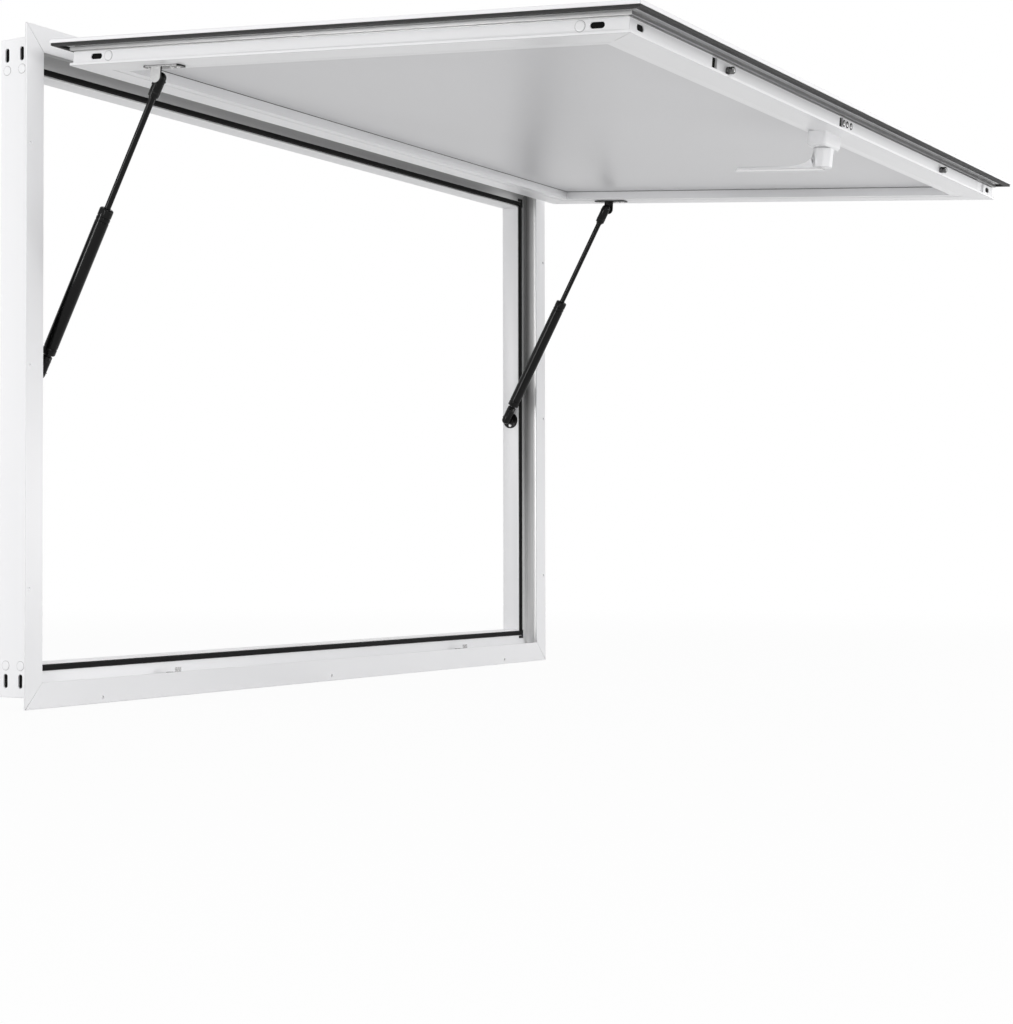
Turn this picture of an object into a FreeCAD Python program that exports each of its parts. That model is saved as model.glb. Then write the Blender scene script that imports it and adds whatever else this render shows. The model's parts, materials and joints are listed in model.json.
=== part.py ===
# Concession window: an awning serving hatch in a mitred aluminium frame.
# Frame axes: X along the width, Y into the room, Z up. The front (outside) is -Y.
# Origin: back face of the lower flange, mid-width, on the flange's bottom edge.
# Rest pose: the awning stands open on its two gas struts.
import FreeCAD, Part
import math
import os
import Sketcher

V = FreeCAD.Vector
ZERO = V(0, 0, 0)

doc = FreeCAD.newDocument("ConcessionWindow")
sheet = doc.addObject("Spreadsheet::Sheet", "Sizes")

# Driving dimensions, in millimetres and degrees
SIZES = {
    # fixed frame
    "frame_width": 1346.0,
    "frame_height": 838.0,
    "flange_face": 31.5,
    "flange_thickness": 2.5,
    "flange_return": 2.0,
    "box_inset": 13.5,
    "frame_depth": 51.5,
    "rebate_wall": 28.0,
    "rebate_ridge": 1.5,
    "rebate_ridge_front": 3.5,
    "rebate_ridge_width": 1.5,
    "stop_face": 21.5,
    "stop_reach": 54.0,
    "stop_undercut": 1.5,
    "stop_undercut_height": 4.0,
    "frame_wall": 2.0,
    "screw_radius": 2.2,
    "screw_edge": 7.4,
    "screw_from_side": 147.0,
    "screw_from_end": 147.0,
    "corner_slot_length": 17.5,
    "corner_slot_width": 6.6,
    "corner_slot_from_end": 33.4,
    "fixing_row_front": 17.4,
    "fixing_row_back": 41.3,
    # rubber seals
    "seal_width": 8.0,
    "seal_height": 3.0,
    "seal_inset": 2.0,
    "seal_draft": 1.5,
    "lip_seal_width": 7.3,
    "lip_seal_height": 3.0,
    "lip_seal_edge": 1.2,
    # awning leaf
    "lip_side_margin": 18.1,
    "lip_low_margin": 22.3,
    "lip_top_margin": 25.0,
    "lip_reach": 18.4,
    "lip_thickness": 4.5,
    "leaf_standoff": 13.5,
    "leaf_thickness": 29.5,
    "rail_width": 37.0,
    "rail_wall": 2.2,
    "recess_depth": 3.6,
    "recess_foot": 7.0,
    "ridge_reach": 0.6,
    "ridge_foot": 11.0,
    "groove_foot": 12.2,
    "groove_depth": 4.5,
    "face_depth": 3.0,
    "face_foot": 26.0,
    "bead_width": 14.0,
    "bead_level": 29.0,
    "bead_groove_width": 0.6,
    "bead_groove_depth": 1.2,
    "panel_outer": 4.0,
    "panel_inner": 16.0,
    "panel_bite": 12.0,
    "panel_gap": 0.5,
    "panel_face_gap": 0.1,
    "sash_slot_length": 17.0,
    "sash_slot_width": 7.0,
    "stile_slot_from_end": 58.0,
    "rail_slot_from_end": 46.9,
    "open_angle": 85.4,
    # hinge
    "hinge_front": 1.5,
    "hinge_above": 6.0,
    "knuckle_radius": 4.0,
    "hinge_pin_radius": 2.0,
    "hinge_pin_clearance": 0.1,
    "knuckle_length": 38.0,
    "knuckle_gap": 2.0,
    "hinge_plate": 2.0,
    "hinge_plate_height": 26.0,
    "hinge_plate_inset": 3.0,
    "hinge_end_inset": 60.0,
    # gas struts
    "strut_inboard": 16.0,
    "strut_leaf_along": 135.0,
    "strut_leaf_above": 13.5,
    "strut_foot_drop": 404.0,
    "rod_radius": 4.0,
    "rod_visible": 145.0,
    "rod_running_fit": 0.1,
    "rod_tail": 14.0,
    "piston_length": 7.0,
    "tube_radius": 9.0,
    "tube_wall": 1.5,
    "tube_end_wall": 8.0,
    "tube_collar_length": 14.0,
    "tube_shoulder": 0.8,
    "socket_length": 27.0,
    "socket_radius": 7.0,
    "socket_bevel": 1.0,
    "socket_neck_length": 2.0,
    "socket_neck_radius": 5.0,
    "socket_mouth_radius": 3.6,
    "ball_radius": 4.5,
    "ball_clearance": 0.2,
    "ball_neck_radius": 2.4,
    "stud_disc_radius": 13.5,
    "stud_disc_height": 2.0,
    "stud_boss_radius": 4.4,
    "stud_boss_height": 4.5,
    "stud_end_gap": 0.4,
    "bracket_length": 56.0,
    "bracket_width": 16.0,
    "bracket_corner": 4.0,
    "bracket_plate": 2.0,
    "bracket_leg": 2.5,
    "bracket_leg_width": 15.0,
    "bracket_leg_gap": 1.5,
    "bracket_rear": 21.0,
    "bracket_screw_radius": 2.0,
    "bracket_screw_first": 28.0,
    "bracket_screw_pitch": 9.5,
    # lock
    "bar_thickness": 2.6,
    "bar_clearance": 0.2,
    "bar_outer_end": 410.0,
    "bar_far_end": 560.0,
    "bar_left_start": 23.0,
    "bar_right_start": 11.4,
    "bar_end_room": 14.0,
    "link_thickness": 1.5,
    "link_width": 9.0,
    "link_overlap": 34.0,
    "roller_left": 382.0,
    "roller_right": 382.0,
    "roller_radius": 4.4,
    "roller_edge": 0.8,
    "roller_reach": 6.2,
    "roller_level": 21.4,
    "lock_travel": 15.0,
    # handle
    "handle_offset": 8.0,
    "handle_from_edge": 52.2,
    "handle_base_length": 62.0,
    "handle_base_width": 25.0,
    "handle_base_height": 18.0,
    "handle_base_corner": 7.0,
    "handle_base_chamfer": 2.5,
    "handle_drum_radius": 13.4,
    "handle_drum_foot_radius": 12.4,
    "handle_drum_height": 25.0,
    "handle_running_gap": 0.3,
    "lever_length": 118.0,
    "lever_root_width": 19.0,
    "lever_tip_width": 13.0,
    "lever_thickness": 4.0,
    "lever_drop": 2.0,
    "lever_root": 10.7,
    "lever_gusset_length": 22.0,
    "lever_gusset_height": 15.0,
    "lever_hollow": 0.33,
    "lever_hollow_place": 0.55,
    # keepers on the sill
    "keeper_length": 13.0,
    "keeper_plate": 1.5,
    "keeper_depth": 16.0,
    "keeper_hook": 8.0,
    "keeper_hook_thickness": 1.0,
    "keeper_front": 0.2,
    "keeper_bend": 1.2,
}

for row, (name, amount) in enumerate(SIZES.items(), start=1):
    sheet.set(f"A{row}", name)
    sheet.set(f"B{row}", str(amount))
    sheet.setAlias(f"B{row}", name)
doc.recompute()

# Expressions that several pieces share
HALF_WIDTH = "(Sizes.frame_width / 2)"
LEAF_WIDTH = "(Sizes.frame_width - 2 * Sizes.lip_side_margin)"
LEAF_TOP = "(Sizes.frame_height - Sizes.lip_top_margin)"
LEAF_HEIGHT = f"({LEAF_TOP} - Sizes.lip_low_margin)"
LEAF_FACE = "(-Sizes.flange_thickness - Sizes.leaf_standoff)"
LEAF_BACK = f"({LEAF_FACE} + Sizes.leaf_thickness)"
RAIL_INNER = "(Sizes.lip_reach + Sizes.rail_width)"
BEAD_INNER = f"({RAIL_INNER} + Sizes.bead_width)"
PANEL_EDGE = f"({BEAD_INNER} - Sizes.panel_bite + Sizes.panel_gap)"
FACE_DEEP = "(Sizes.lip_reach + Sizes.face_depth)"
BAR_FLOOR = f"({FACE_DEEP} + Sizes.bar_thickness + Sizes.bar_clearance)"
AXIS_Y = f"({LEAF_FACE} - Sizes.hinge_front)"
AXIS_Z = f"({LEAF_TOP} + Sizes.hinge_above)"
STRUT_X = f"({HALF_WIDTH} - Sizes.stop_reach - Sizes.strut_inboard)"
FOOT_Y = "((Sizes.stop_face + Sizes.frame_depth) / 2)"
FOOT_Z = f"({AXIS_Z} - Sizes.strut_foot_drop)"

parts = []


def value(expression):
    """Number that an expression on the sheet stands for."""
    result = sheet.evalExpression(str(expression))
    return float(getattr(result, "Value", result))


def turned(axis, degrees, at=ZERO):
    """Placement that turns about an axis through a point."""
    return FreeCAD.Placement(ZERO, FreeCAD.Rotation(axis, degrees), at)


def moved(x, y, z):
    return FreeCAD.Placement(V(x, y, z), FreeCAD.Rotation())


def keep(piece, label, placement=None):
    piece.Label = label
    if placement is not None:
        piece.Placement = placement.multiply(piece.Placement)
    parts.append(piece)
    return piece


def keep_shape(label, shape, placement=None):
    """Piece made from a finished solid, where no parametric body fits its form."""
    feature = doc.addObject("Part::Feature", label)
    feature.Shape = shape
    return keep(feature, label, placement)


def bind(thing, **bindings):
    for name, expression in bindings.items():
        thing.setExpression(name, str(expression))
    return thing


def new_sketch(body, name, plane):
    sketch = body.newObject("Sketcher::SketchObject", name)
    support = [f for f in body.Origin.OriginFeatures if f.Role == plane][0]
    sketch.AttachmentSupport = (support, "")
    sketch.MapMode = "FlatFace"
    return sketch


def fix(sketch, edge, point, x, y):
    """Ties one point of an edge to two expressions."""
    for kind, expression in (("DistanceX", x), ("DistanceY", y)):
        constraint = Sketcher.Constraint(kind, -1, 1, edge, point, value(expression))
        slot = sketch.addConstraint(constraint)
        sketch.setExpression(f"Constraints[{slot}]", str(expression))


def polygon(sketch, points):
    """Closed outline whose corners are placed by expressions."""
    numbers = [(value(x), value(y)) for x, y in points]
    count = len(points)
    first = sketch.GeometryCount
    for index in range(count):
        start = V(*numbers[index], 0)
        end = V(*numbers[(index + 1) % count], 0)
        sketch.addGeometry(Part.LineSegment(start, end), False)
    for index in range(count):
        edge = first + index
        following = first + (index + 1) % count
        sketch.addConstraint(Sketcher.Constraint("Coincident", edge, 2, following, 1))
    for index, (x, y) in enumerate(points):
        fix(sketch, first + index, 1, x, y)


def circle(sketch, x, y, radius):
    round_edge = Part.Circle(V(value(x), value(y), 0), V(0, 0, 1), value(radius))
    edge = sketch.addGeometry(round_edge, False)
    fix(sketch, edge, 3, x, y)
    slot = sketch.addConstraint(Sketcher.Constraint("Radius", edge, value(radius)))
    sketch.setExpression(f"Constraints[{slot}]", str(radius))


def oblong(sketch, x, y, length, width):
    """Slot with round ends, long in Y, about a centre."""
    radius = f"({width} / 2)"
    reach = f"({length} / 2 - {radius})"
    cx, cy, r, h = value(x), value(y), value(radius), value(reach)
    high = Part.Circle(V(cx, cy + h, 0), V(0, 0, 1), r)
    low = Part.Circle(V(cx, cy - h, 0), V(0, 0, 1), r)
    top = sketch.addGeometry(Part.ArcOfCircle(high, 0, math.pi), False)
    left = sketch.addGeometry(Part.LineSegment(V(cx - r, cy + h, 0), V(cx - r, cy - h, 0)), False)
    bottom = sketch.addGeometry(Part.ArcOfCircle(low, math.pi, 2 * math.pi), False)
    right = sketch.addGeometry(Part.LineSegment(V(cx + r, cy - h, 0), V(cx + r, cy + h, 0)), False)
    for one, other in ((top, left), (left, bottom), (bottom, right), (right, top)):
        sketch.addConstraint(Sketcher.Constraint("Tangent", one, 2, other, 1))
    fix(sketch, top, 3, x, f"{y} + {reach}")
    fix(sketch, bottom, 3, x, f"{y} - {reach}")
    slot = sketch.addConstraint(Sketcher.Constraint("Radius", top, r))
    sketch.setExpression(f"Constraints[{slot}]", radius)
    sketch.addConstraint(Sketcher.Constraint("Equal", top, bottom))


def pad(body, name, sketch, length):
    feature = body.newObject("PartDesign::Pad", name)
    feature.Profile = sketch
    feature.setExpression("Length", str(length))
    sketch.Visibility = False
    return feature


def pocket(body, name, sketch, length=None):
    """Cut from the sketch; with no length it goes through both ways."""
    before = body.Shape.Volume
    feature = body.newObject("PartDesign::Pocket", name)
    feature.Profile = sketch
    if length is None:
        feature.Type = "ThroughAll"
        feature.Midplane = True
    else:
        feature.setExpression("Length", str(length))
    doc.recompute()
    if body.Shape.Volume >= before:
        feature.Reversed = True
        doc.recompute()
    if body.Shape.Volume >= before:
        raise RuntimeError(f"{body.Label}: {name} cuts nothing")
    return feature


def mitred_bar(label, outline, length, reach, chambers=()):
    """Extrusion along Z with both ends cut at 45 degrees; X runs inward, Y back."""
    body = doc.addObject("PartDesign::Body", label)
    section = new_sketch(body, "Section", "XY_Plane")
    polygon(section, outline)
    for chamber in chambers:
        polygon(section, chamber)
    pad(body, "Extrusion", section, length)
    doc.recompute()
    mitre = new_sketch(body, "Mitre", "XZ_Plane")
    far = f"({reach} + 1)"
    polygon(mitre, [("-1", "-1"), (far, "-1"), (far, far)])
    polygon(mitre, [("-1", f"{length} + 1"), (far, f"{length} - {far}"), (far, f"{length} + 1")])
    pocket(body, "MitreCut", mitre)
    return body


def four_sides(width, height, x_left, z_low, y):
    """The four sides of a rectangle, each as the placement of a bar."""
    return {
        "jamb_left": moved(x_left, y, z_low),
        "jamb_right": moved(x_left + width, y, z_low + height).multiply(turned(V(0, 1, 0), 180)),
        "sill": moved(x_left + width, y, z_low).multiply(turned(V(0, 1, 0), -90)),
        "head": moved(x_left, y, z_low + height).multiply(turned(V(0, 1, 0), 90)),
    }


def edges_along(shape, axis):
    """Straight edges of a solid that run along an axis."""
    straight = [e for e in shape.Edges if isinstance(e.Curve, Part.Line)]
    return [e for e in straight if abs(e.tangentAt(e.FirstParameter).dot(axis)) > 0.999]


def revolved(profile, at=0.0):
    """Solid of revolution about Z from radius and height pairs; it starts and ends on the axis."""
    points = [V(radius, 0, at + height) for radius, height in profile]
    return Part.Face(Part.makePolygon(points + points[:1])).revolve(ZERO, V(0, 0, 1), 360)


def prism(points, direction):
    return Part.Face(Part.makePolygon(points + points[:1])).extrude(direction)


FRAME_SIDES = four_sides(value("Sizes.frame_width"), value("Sizes.frame_height"),
                         -value(HALF_WIDTH), 0.0, 0.0)
LEAF_SIDES = four_sides(value(LEAF_WIDTH), value(LEAF_HEIGHT), -value(LEAF_WIDTH) / 2,
                        value("Sizes.lip_low_margin"), value(LEAF_FACE))
SWING = turned(V(1, 0, 0), -value("Sizes.open_angle"), V(0, value(AXIS_Y), value(AXIS_Z)))


# Frame extrusion, seen along its length: X inward from the outer edge, Y back
RETURN_BACK = "(Sizes.flange_return - Sizes.flange_thickness)"
UNDERCUT_WALL = "(Sizes.rebate_wall - Sizes.stop_undercut)"
RIDGE_BACK = "(Sizes.rebate_ridge_front + Sizes.rebate_ridge_width)"
FRAME_OUTLINE = [
    ("0", "-Sizes.flange_thickness"),
    ("Sizes.flange_face", "-Sizes.flange_thickness"),
    ("Sizes.flange_face", RETURN_BACK),
    ("Sizes.rebate_wall", RETURN_BACK),
    ("Sizes.rebate_wall", "Sizes.rebate_ridge_front"),
    ("Sizes.rebate_wall + Sizes.rebate_ridge", "Sizes.rebate_ridge_front"),
    ("Sizes.rebate_wall + Sizes.rebate_ridge", RIDGE_BACK),
    ("Sizes.rebate_wall", RIDGE_BACK),
    ("Sizes.rebate_wall", "Sizes.stop_face - Sizes.stop_undercut_height"),
    (UNDERCUT_WALL, "Sizes.stop_face - Sizes.stop_undercut_height"),
    (UNDERCUT_WALL, "Sizes.stop_face"),
    ("Sizes.stop_reach", "Sizes.stop_face"),
    ("Sizes.stop_reach", "Sizes.frame_depth"),
    ("Sizes.box_inset", "Sizes.frame_depth"),
    ("Sizes.box_inset", "0"),
    ("0", "0"),
]
FRAME_CHAMBER = [
    ("Sizes.box_inset + Sizes.frame_wall", "Sizes.frame_wall"),
    (f"{UNDERCUT_WALL} - Sizes.frame_wall", "Sizes.frame_wall"),
    (f"{UNDERCUT_WALL} - Sizes.frame_wall", "Sizes.stop_face + Sizes.frame_wall"),
    ("Sizes.stop_reach - Sizes.frame_wall", "Sizes.stop_face + Sizes.frame_wall"),
    ("Sizes.stop_reach - Sizes.frame_wall", "Sizes.frame_depth - Sizes.frame_wall"),
    ("Sizes.box_inset + Sizes.frame_wall", "Sizes.frame_depth - Sizes.frame_wall"),
]


def screw_holes(body, length, from_end):
    """Three screw holes along the flange."""
    sketch = new_sketch(body, "ScrewHoles", "XZ_Plane")
    for along in (from_end, f"{length} / 2", f"{length} - {from_end}"):
        circle(sketch, "Sizes.screw_edge", along, "Sizes.screw_radius")
    pocket(body, "ScrewHoleCut", sketch)


def end_slots(body, rows, length, from_end, slot_length, slot_width, depth):
    """Round-ended slots near both ends, through the wall that faces out."""
    sketch = new_sketch(body, "EndSlots", "YZ_Plane")
    for row in rows:
        for along in (f"({from_end})", f"({length} - {from_end})"):
            oblong(sketch, row, along, slot_length, slot_width)
    pocket(body, "EndSlotCut", sketch, depth)


def frame_member(side, length, from_end):
    name = f"frame_{side}"
    body = mitred_bar(name, FRAME_OUTLINE, length, "Sizes.stop_reach", [FRAME_CHAMBER])
    screw_holes(body, length, from_end)
    if side.startswith("jamb"):
        end_slots(body, ("Sizes.fixing_row_front", "Sizes.fixing_row_back"), length,
                  "Sizes.corner_slot_from_end", "Sizes.corner_slot_length",
                  "Sizes.corner_slot_width", "Sizes.box_inset + Sizes.frame_wall + 1")
    keep(body, name, FRAME_SIDES[side])


# Rubber seal on the stop
SEAL_OUTER = "(Sizes.stop_reach - Sizes.seal_inset)"
SEAL_INNER = f"({SEAL_OUTER} - Sizes.seal_width)"
STOP_SEAL = [
    (SEAL_INNER, "Sizes.stop_face"),
    (f"{SEAL_INNER} + Sizes.seal_draft", "Sizes.stop_face - Sizes.seal_height"),
    (f"{SEAL_OUTER} - Sizes.seal_draft", "Sizes.stop_face - Sizes.seal_height"),
    (SEAL_OUTER, "Sizes.stop_face"),
]
for side in ("jamb_left", "jamb_right", "sill", "head"):
    upright = side.startswith("jamb")
    long = "Sizes.frame_height" if upright else "Sizes.frame_width"
    frame_member(side, long, "Sizes.screw_from_end" if upright else "Sizes.screw_from_side")
    seal = mitred_bar(f"stop_seal_{side}", STOP_SEAL, long, "Sizes.stop_reach")
    keep(seal, f"stop_seal_{side}", FRAME_SIDES[side])


# Awning extrusion: X inward from the lip's edge, Y from the outer face towards the room.
# Under the lip come a recess, a ridge and a groove, then the face that the lock slides in.
RIDGE_EDGE = "(Sizes.lip_reach - Sizes.ridge_reach)"
BEAD_GROOVE_FLOOR = "(Sizes.bead_level - Sizes.bead_groove_depth)"
LEAF_OUTLINE = [
    ("0", "0"),
    (BEAD_INNER, "0"),
    (BEAD_INNER, "Sizes.panel_outer"),
    (f"{BEAD_INNER} - Sizes.panel_bite", "Sizes.panel_outer"),
    (f"{BEAD_INNER} - Sizes.panel_bite", "Sizes.panel_inner"),
    (BEAD_INNER, "Sizes.panel_inner"),
    (BEAD_INNER, "Sizes.bead_level"),
    (f"{RAIL_INNER} + Sizes.bead_groove_width", "Sizes.bead_level"),
    (f"{RAIL_INNER} + Sizes.bead_groove_width", BEAD_GROOVE_FLOOR),
    (RAIL_INNER, BEAD_GROOVE_FLOOR),
    (RAIL_INNER, "Sizes.leaf_thickness"),
    ("Sizes.lip_reach", "Sizes.leaf_thickness"),
    ("Sizes.lip_reach", "Sizes.face_foot"),
    (FACE_DEEP, "Sizes.face_foot"),
    (FACE_DEEP, "Sizes.groove_foot"),
    ("Sizes.lip_reach + Sizes.groove_depth", "Sizes.groove_foot"),
    ("Sizes.lip_reach + Sizes.groove_depth", "Sizes.ridge_foot"),
    (RIDGE_EDGE, "Sizes.ridge_foot"),
    (RIDGE_EDGE, "Sizes.recess_foot"),
    ("Sizes.lip_reach + Sizes.recess_depth", "Sizes.recess_foot"),
    ("Sizes.lip_reach + Sizes.recess_depth", "Sizes.lip_thickness"),
    ("0", "Sizes.lip_thickness"),
]
SASH_CORE = f"({BAR_FLOOR} + Sizes.link_thickness + Sizes.rail_wall)"
PANEL_WALL = f"({BEAD_INNER} - Sizes.panel_bite - Sizes.rail_wall)"
LEAF_CHAMBER = [
    (SASH_CORE, "Sizes.rail_wall"),
    (PANEL_WALL, "Sizes.rail_wall"),
    (PANEL_WALL, "Sizes.panel_inner"),
    (f"{RAIL_INNER} - Sizes.rail_wall", "Sizes.panel_inner"),
    (f"{RAIL_INNER} - Sizes.rail_wall", "Sizes.leaf_thickness - Sizes.rail_wall"),
    (SASH_CORE, "Sizes.leaf_thickness - Sizes.rail_wall"),
]
BEAD_CHAMBER = [
    (f"{RAIL_INNER} + Sizes.rail_wall", "Sizes.panel_inner + Sizes.rail_wall"),
    (f"{BEAD_INNER} - Sizes.rail_wall", "Sizes.panel_inner + Sizes.rail_wall"),
    (f"{BEAD_INNER} - Sizes.rail_wall", f"{BEAD_GROOVE_FLOOR} - Sizes.rail_wall"),
    (f"{RAIL_INNER} + Sizes.rail_wall", f"{BEAD_GROOVE_FLOOR} - Sizes.rail_wall"),
]
LIP_SEAL_INNER = "(Sizes.lip_seal_edge + Sizes.lip_seal_width)"
LIP_SEAL = [
    ("Sizes.lip_seal_edge", "Sizes.lip_thickness"),
    ("Sizes.lip_seal_edge", "Sizes.lip_thickness + Sizes.lip_seal_height"),
    (LIP_SEAL_INNER, "Sizes.lip_thickness + Sizes.lip_seal_height"),
    (LIP_SEAL_INNER, "Sizes.lip_thickness"),
]
FACE_MIDDLE = "((Sizes.groove_foot + Sizes.face_foot) / 2)"
SASH_SIDES = {"jamb_left": "stile_left", "jamb_right": "stile_right",
              "sill": "rail_front", "head": "rail_hinge"}


def rectangle(sketch, low_x, high_x, low_y, high_y):
    polygon(sketch, [(low_x, low_y), (high_x, low_y), (high_x, high_y), (low_x, high_y)])


def lock_channel(body):
    """Channel for the lock bars in the front rail's face, deeper where the link plate slides."""
    middle = f"({LEAF_WIDTH} / 2)"
    channel = new_sketch(body, "LockChannel", "YZ_Plane")
    rectangle(channel, "Sizes.groove_foot", "Sizes.face_foot",
              f"{middle} - Sizes.bar_far_end - Sizes.lock_travel - Sizes.bar_end_room",
              f"{middle} + Sizes.bar_outer_end + Sizes.bar_end_room")
    pocket(body, "LockChannelCut", channel, BAR_FLOOR)
    link = new_sketch(body, "LinkSlot", "YZ_Plane")
    half = "(Sizes.link_width / 2 + Sizes.bar_clearance)"
    reach = "(Sizes.link_overlap + Sizes.bar_end_room)"
    rectangle(link, f"{FACE_MIDDLE} - {half}", f"{FACE_MIDDLE} + {half}",
              f"{middle} - {reach} + Sizes.bar_right_start - Sizes.lock_travel",
              f"{middle} + {reach} + Sizes.bar_left_start")
    pocket(body, "LinkSlotCut", link, f"{BAR_FLOOR} + Sizes.link_thickness + Sizes.bar_clearance")


for side, sash in SASH_SIDES.items():
    upright = side.startswith("jamb")
    long = LEAF_HEIGHT if upright else LEAF_WIDTH
    placed = SWING.multiply(LEAF_SIDES[side])
    member = mitred_bar(f"sash_{sash}", LEAF_OUTLINE, long, BEAD_INNER, [LEAF_CHAMBER, BEAD_CHAMBER])
    end_slots(member, (FACE_MIDDLE,), long,
              "Sizes.stile_slot_from_end" if upright else "Sizes.rail_slot_from_end",
              "Sizes.sash_slot_length", "Sizes.sash_slot_width", f"{SASH_CORE} + 1")
    if sash == "rail_front":
        lock_channel(member)
    keep(member, f"sash_{sash}", placed)
    keep(mitred_bar(f"lip_seal_{sash}", LIP_SEAL, long, "Sizes.lip_reach"), f"lip_seal_{sash}", placed)

# Panel in the sash's groove
panel = bind(doc.addObject("Part::Box", "awning_panel"),
             Length=f"{LEAF_WIDTH} - 2 * {PANEL_EDGE}",
             Height=f"{LEAF_HEIGHT} - 2 * {PANEL_EDGE}",
             Width="Sizes.panel_inner - Sizes.panel_outer - 2 * Sizes.panel_face_gap")
panel.Placement = moved(value(PANEL_EDGE) - value(LEAF_WIDTH) / 2,
                        value(f"{LEAF_FACE} + Sizes.panel_outer + Sizes.panel_face_gap"),
                        value(f"Sizes.lip_low_margin + {PANEL_EDGE}"))
keep(panel, "awning_panel", SWING)

# Hinge: a row of knuckles that belong by turns to the frame and to the awning, on one pin
axis_y, axis_z = value(AXIS_Y), value(AXIS_Z)
leaf_face, leaf_back, leaf_top = value(LEAF_FACE), value(LEAF_BACK), value(LEAF_TOP)
knuckle = value("Sizes.knuckle_length")
knuckle_radius = value("Sizes.knuckle_radius")
hinge_plate = value("Sizes.hinge_plate")
hinge_step = 2 * (knuckle + value("Sizes.knuckle_gap"))
moving_count = int(value(f"{LEAF_WIDTH} - 2 * Sizes.hinge_end_inset") // hinge_step)
hinge_start = -(moving_count * hinge_step + knuckle) / 2


def hinge_leaf(name, plate, arm, count, start, placement=None):
    """Plate along X with arms to its knuckles, bored for the pin; plate and arm are Y and Z ranges."""
    length = (count - 1) * hinge_step + knuckle
    shape = Part.makeBox(length, plate[1] - plate[0], plate[3] - plate[2], V(start, plate[0], plate[2]))
    for index in range(count):
        left = start + index * hinge_step
        shape = shape.fuse(Part.makeBox(knuckle, arm[1] - arm[0], arm[3] - arm[2], V(left, arm[0], arm[2])))
        shape = shape.fuse(Part.makeCylinder(knuckle_radius, knuckle, V(left, axis_y, axis_z), V(1, 0, 0)))
    bore = Part.makeCylinder(value("Sizes.hinge_pin_radius + Sizes.hinge_pin_clearance"), length + 2,
                             V(start - 1, axis_y, axis_z), V(1, 0, 0))
    keep_shape(name, shape.removeSplitter().cut(bore), placement)


flange_front = -value("Sizes.flange_thickness")
arm_low = axis_z + knuckle_radius - hinge_plate
plate_high = value("Sizes.frame_height - Sizes.hinge_plate_inset")
hinge_leaf("hinge_leaf_fixed", (flange_front - hinge_plate, flange_front, arm_low, plate_high),
           (axis_y, flange_front, arm_low, arm_low + hinge_plate), moving_count + 1, hinge_start)
plate_top = leaf_top - value("Sizes.hinge_plate_inset")
hinge_leaf("hinge_leaf_moving",
           (leaf_face - hinge_plate, leaf_face, leaf_top - value("Sizes.hinge_plate_height"), plate_top),
           (leaf_face - hinge_plate, leaf_face, plate_top, axis_z), moving_count,
           hinge_start + hinge_step / 2, SWING)
pin = bind(doc.addObject("Part::Cylinder", "hinge_pin"), Radius="Sizes.hinge_pin_radius")
pin.Height = -2 * hinge_start
pin.Placement = moved(hinge_start, axis_y, axis_z).multiply(turned(V(0, 1, 0), 90))
keep(pin, "hinge_pin")

# Gas struts, one beside each jamb: foot on a stud at mid-depth of the stop, head on the stile
foot_y, foot_z = value(FOOT_Y), value(FOOT_Z)
pivot_y = leaf_back + value("Sizes.strut_leaf_above")
pivot_z = leaf_top - value("Sizes.strut_leaf_along")
head_point = SWING.multVec(V(0, pivot_y, pivot_z))
rise, run = head_point.z - foot_z, head_point.y - foot_y
strut_length = math.hypot(rise, run)
strut_tilt = math.degrees(math.atan2(-run, rise))
socket_length = value("Sizes.socket_length")
tube_length = strut_length - 2 * socket_length - value("Sizes.rod_visible")
ball_radius = value("Sizes.ball_radius")
neck_radius = value("Sizes.ball_neck_radius")


def strut_tube():
    """Pressed tube: closed foot, rolled shoulder and a collar that guides the rod."""
    outer = value("Sizes.tube_radius")
    inner = outer - value("Sizes.tube_wall")
    guide = value("Sizes.rod_radius + Sizes.rod_running_fit")
    floor = value("Sizes.tube_end_wall")
    collar = tube_length - value("Sizes.tube_collar_length")
    shoulder = value("Sizes.tube_shoulder")
    return revolved([(0, 0), (outer - shoulder, 0), (outer, shoulder), (outer, tube_length - 2 * shoulder),
                     (outer - 2 * shoulder, tube_length), (guide, tube_length), (guide, collar),
                     (inner, collar), (inner, floor), (0, floor)], socket_length)


def strut_rod():
    """Polished rod with its piston at the lower end."""
    low = strut_length - socket_length - value(
        "Sizes.rod_visible + Sizes.tube_collar_length + Sizes.rod_tail")
    radius = value("Sizes.rod_radius")
    piston = value("Sizes.tube_radius - Sizes.tube_wall - Sizes.rod_running_fit")
    thick = value("Sizes.piston_length")
    return revolved([(0, low), (piston, low), (piston, low + thick), (radius, low + thick),
                     (radius, strut_length - socket_length), (0, strut_length - socket_length)])


def strut_socket(outboard):
    """End fitting: round-ended housing and neck, with a ball pocket open on the outboard side."""
    radius, bevel = value("Sizes.socket_radius"), value("Sizes.socket_bevel")
    neck = value("Sizes.socket_neck_radius")
    shoulder = socket_length - value("Sizes.socket_neck_length")
    housing = revolved([(0, 0), (radius, 0), (radius, shoulder - bevel), (radius - bevel, shoulder),
                        (neck, shoulder), (neck, socket_length), (0, socket_length)])
    housing = housing.fuse(Part.makeSphere(radius)).removeSplitter()
    pocket_ball = Part.makeSphere(ball_radius + value("Sizes.ball_clearance"))
    mouth = Part.makeCylinder(value("Sizes.socket_mouth_radius"), radius + 1, ZERO, outboard)
    return housing.cut(pocket_ball).cut(mouth)


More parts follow.
